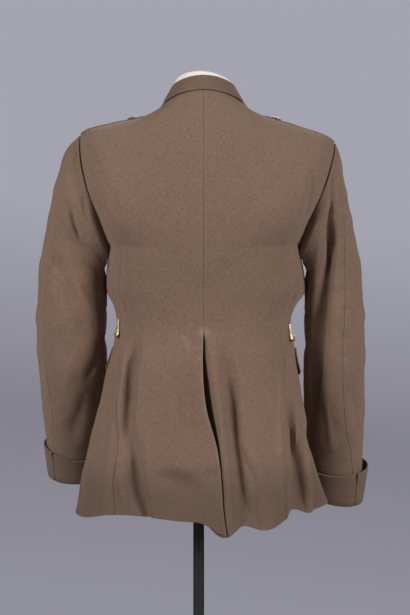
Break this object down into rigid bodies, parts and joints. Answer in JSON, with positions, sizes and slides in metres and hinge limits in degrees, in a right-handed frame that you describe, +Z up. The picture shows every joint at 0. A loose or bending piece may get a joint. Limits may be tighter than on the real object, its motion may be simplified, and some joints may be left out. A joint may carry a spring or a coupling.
{
  "type": "military dress tunic on a limbless dress form stand",
  "caption": "Wool service tunic with notched lapels, turned-back cuffs, shoulder straps and a hooked back vent, filled out on a limbless dress form with a pole and round base.",
  "frame": {"origin": "centre of the whole part at floor level, under the base", "axes": "+Z up; the tunic's back looks along -Y and its front along +Y; +X is the wearer's right-hand side, which is on the right when the back is seen"},
  "size_m": [0.5935, 0.3423, 1.532],
  "materials": {
    "wool": "matte wool twill with a faint nap",
    "brass": "dull aged brass",
    "form_cover": "smooth white cotton jersey, stretched",
    "stand_paint": "satin black paint"
  },
  "bodies": {
    "root": {"back_left": "wool", "back_right": "wool", "base": "stand_paint", "button_1": "brass", "button_2": "brass", "button_3": "brass", "button_4": "brass", "collar": "wool", "cuff_left": "wool", "cuff_right": "wool", "flap_left": "wool", "flap_right": "wool", "form": "form_cover", "front_left": "wool", "front_right": "wool", "hook_left": "brass", "hook_right": "brass", "lapel_left": "wool", "lapel_right": "wool", "pole": "stand_paint", "sleeve_top_left": "wool", "sleeve_top_right": "wool", "sleeve_under_left": "wool", "sleeve_under_right": "wool", "strap_button_left": "brass", "strap_button_right": "brass", "strap_left": "wool", "strap_right": "wool"}
  },
  "joints": []
}
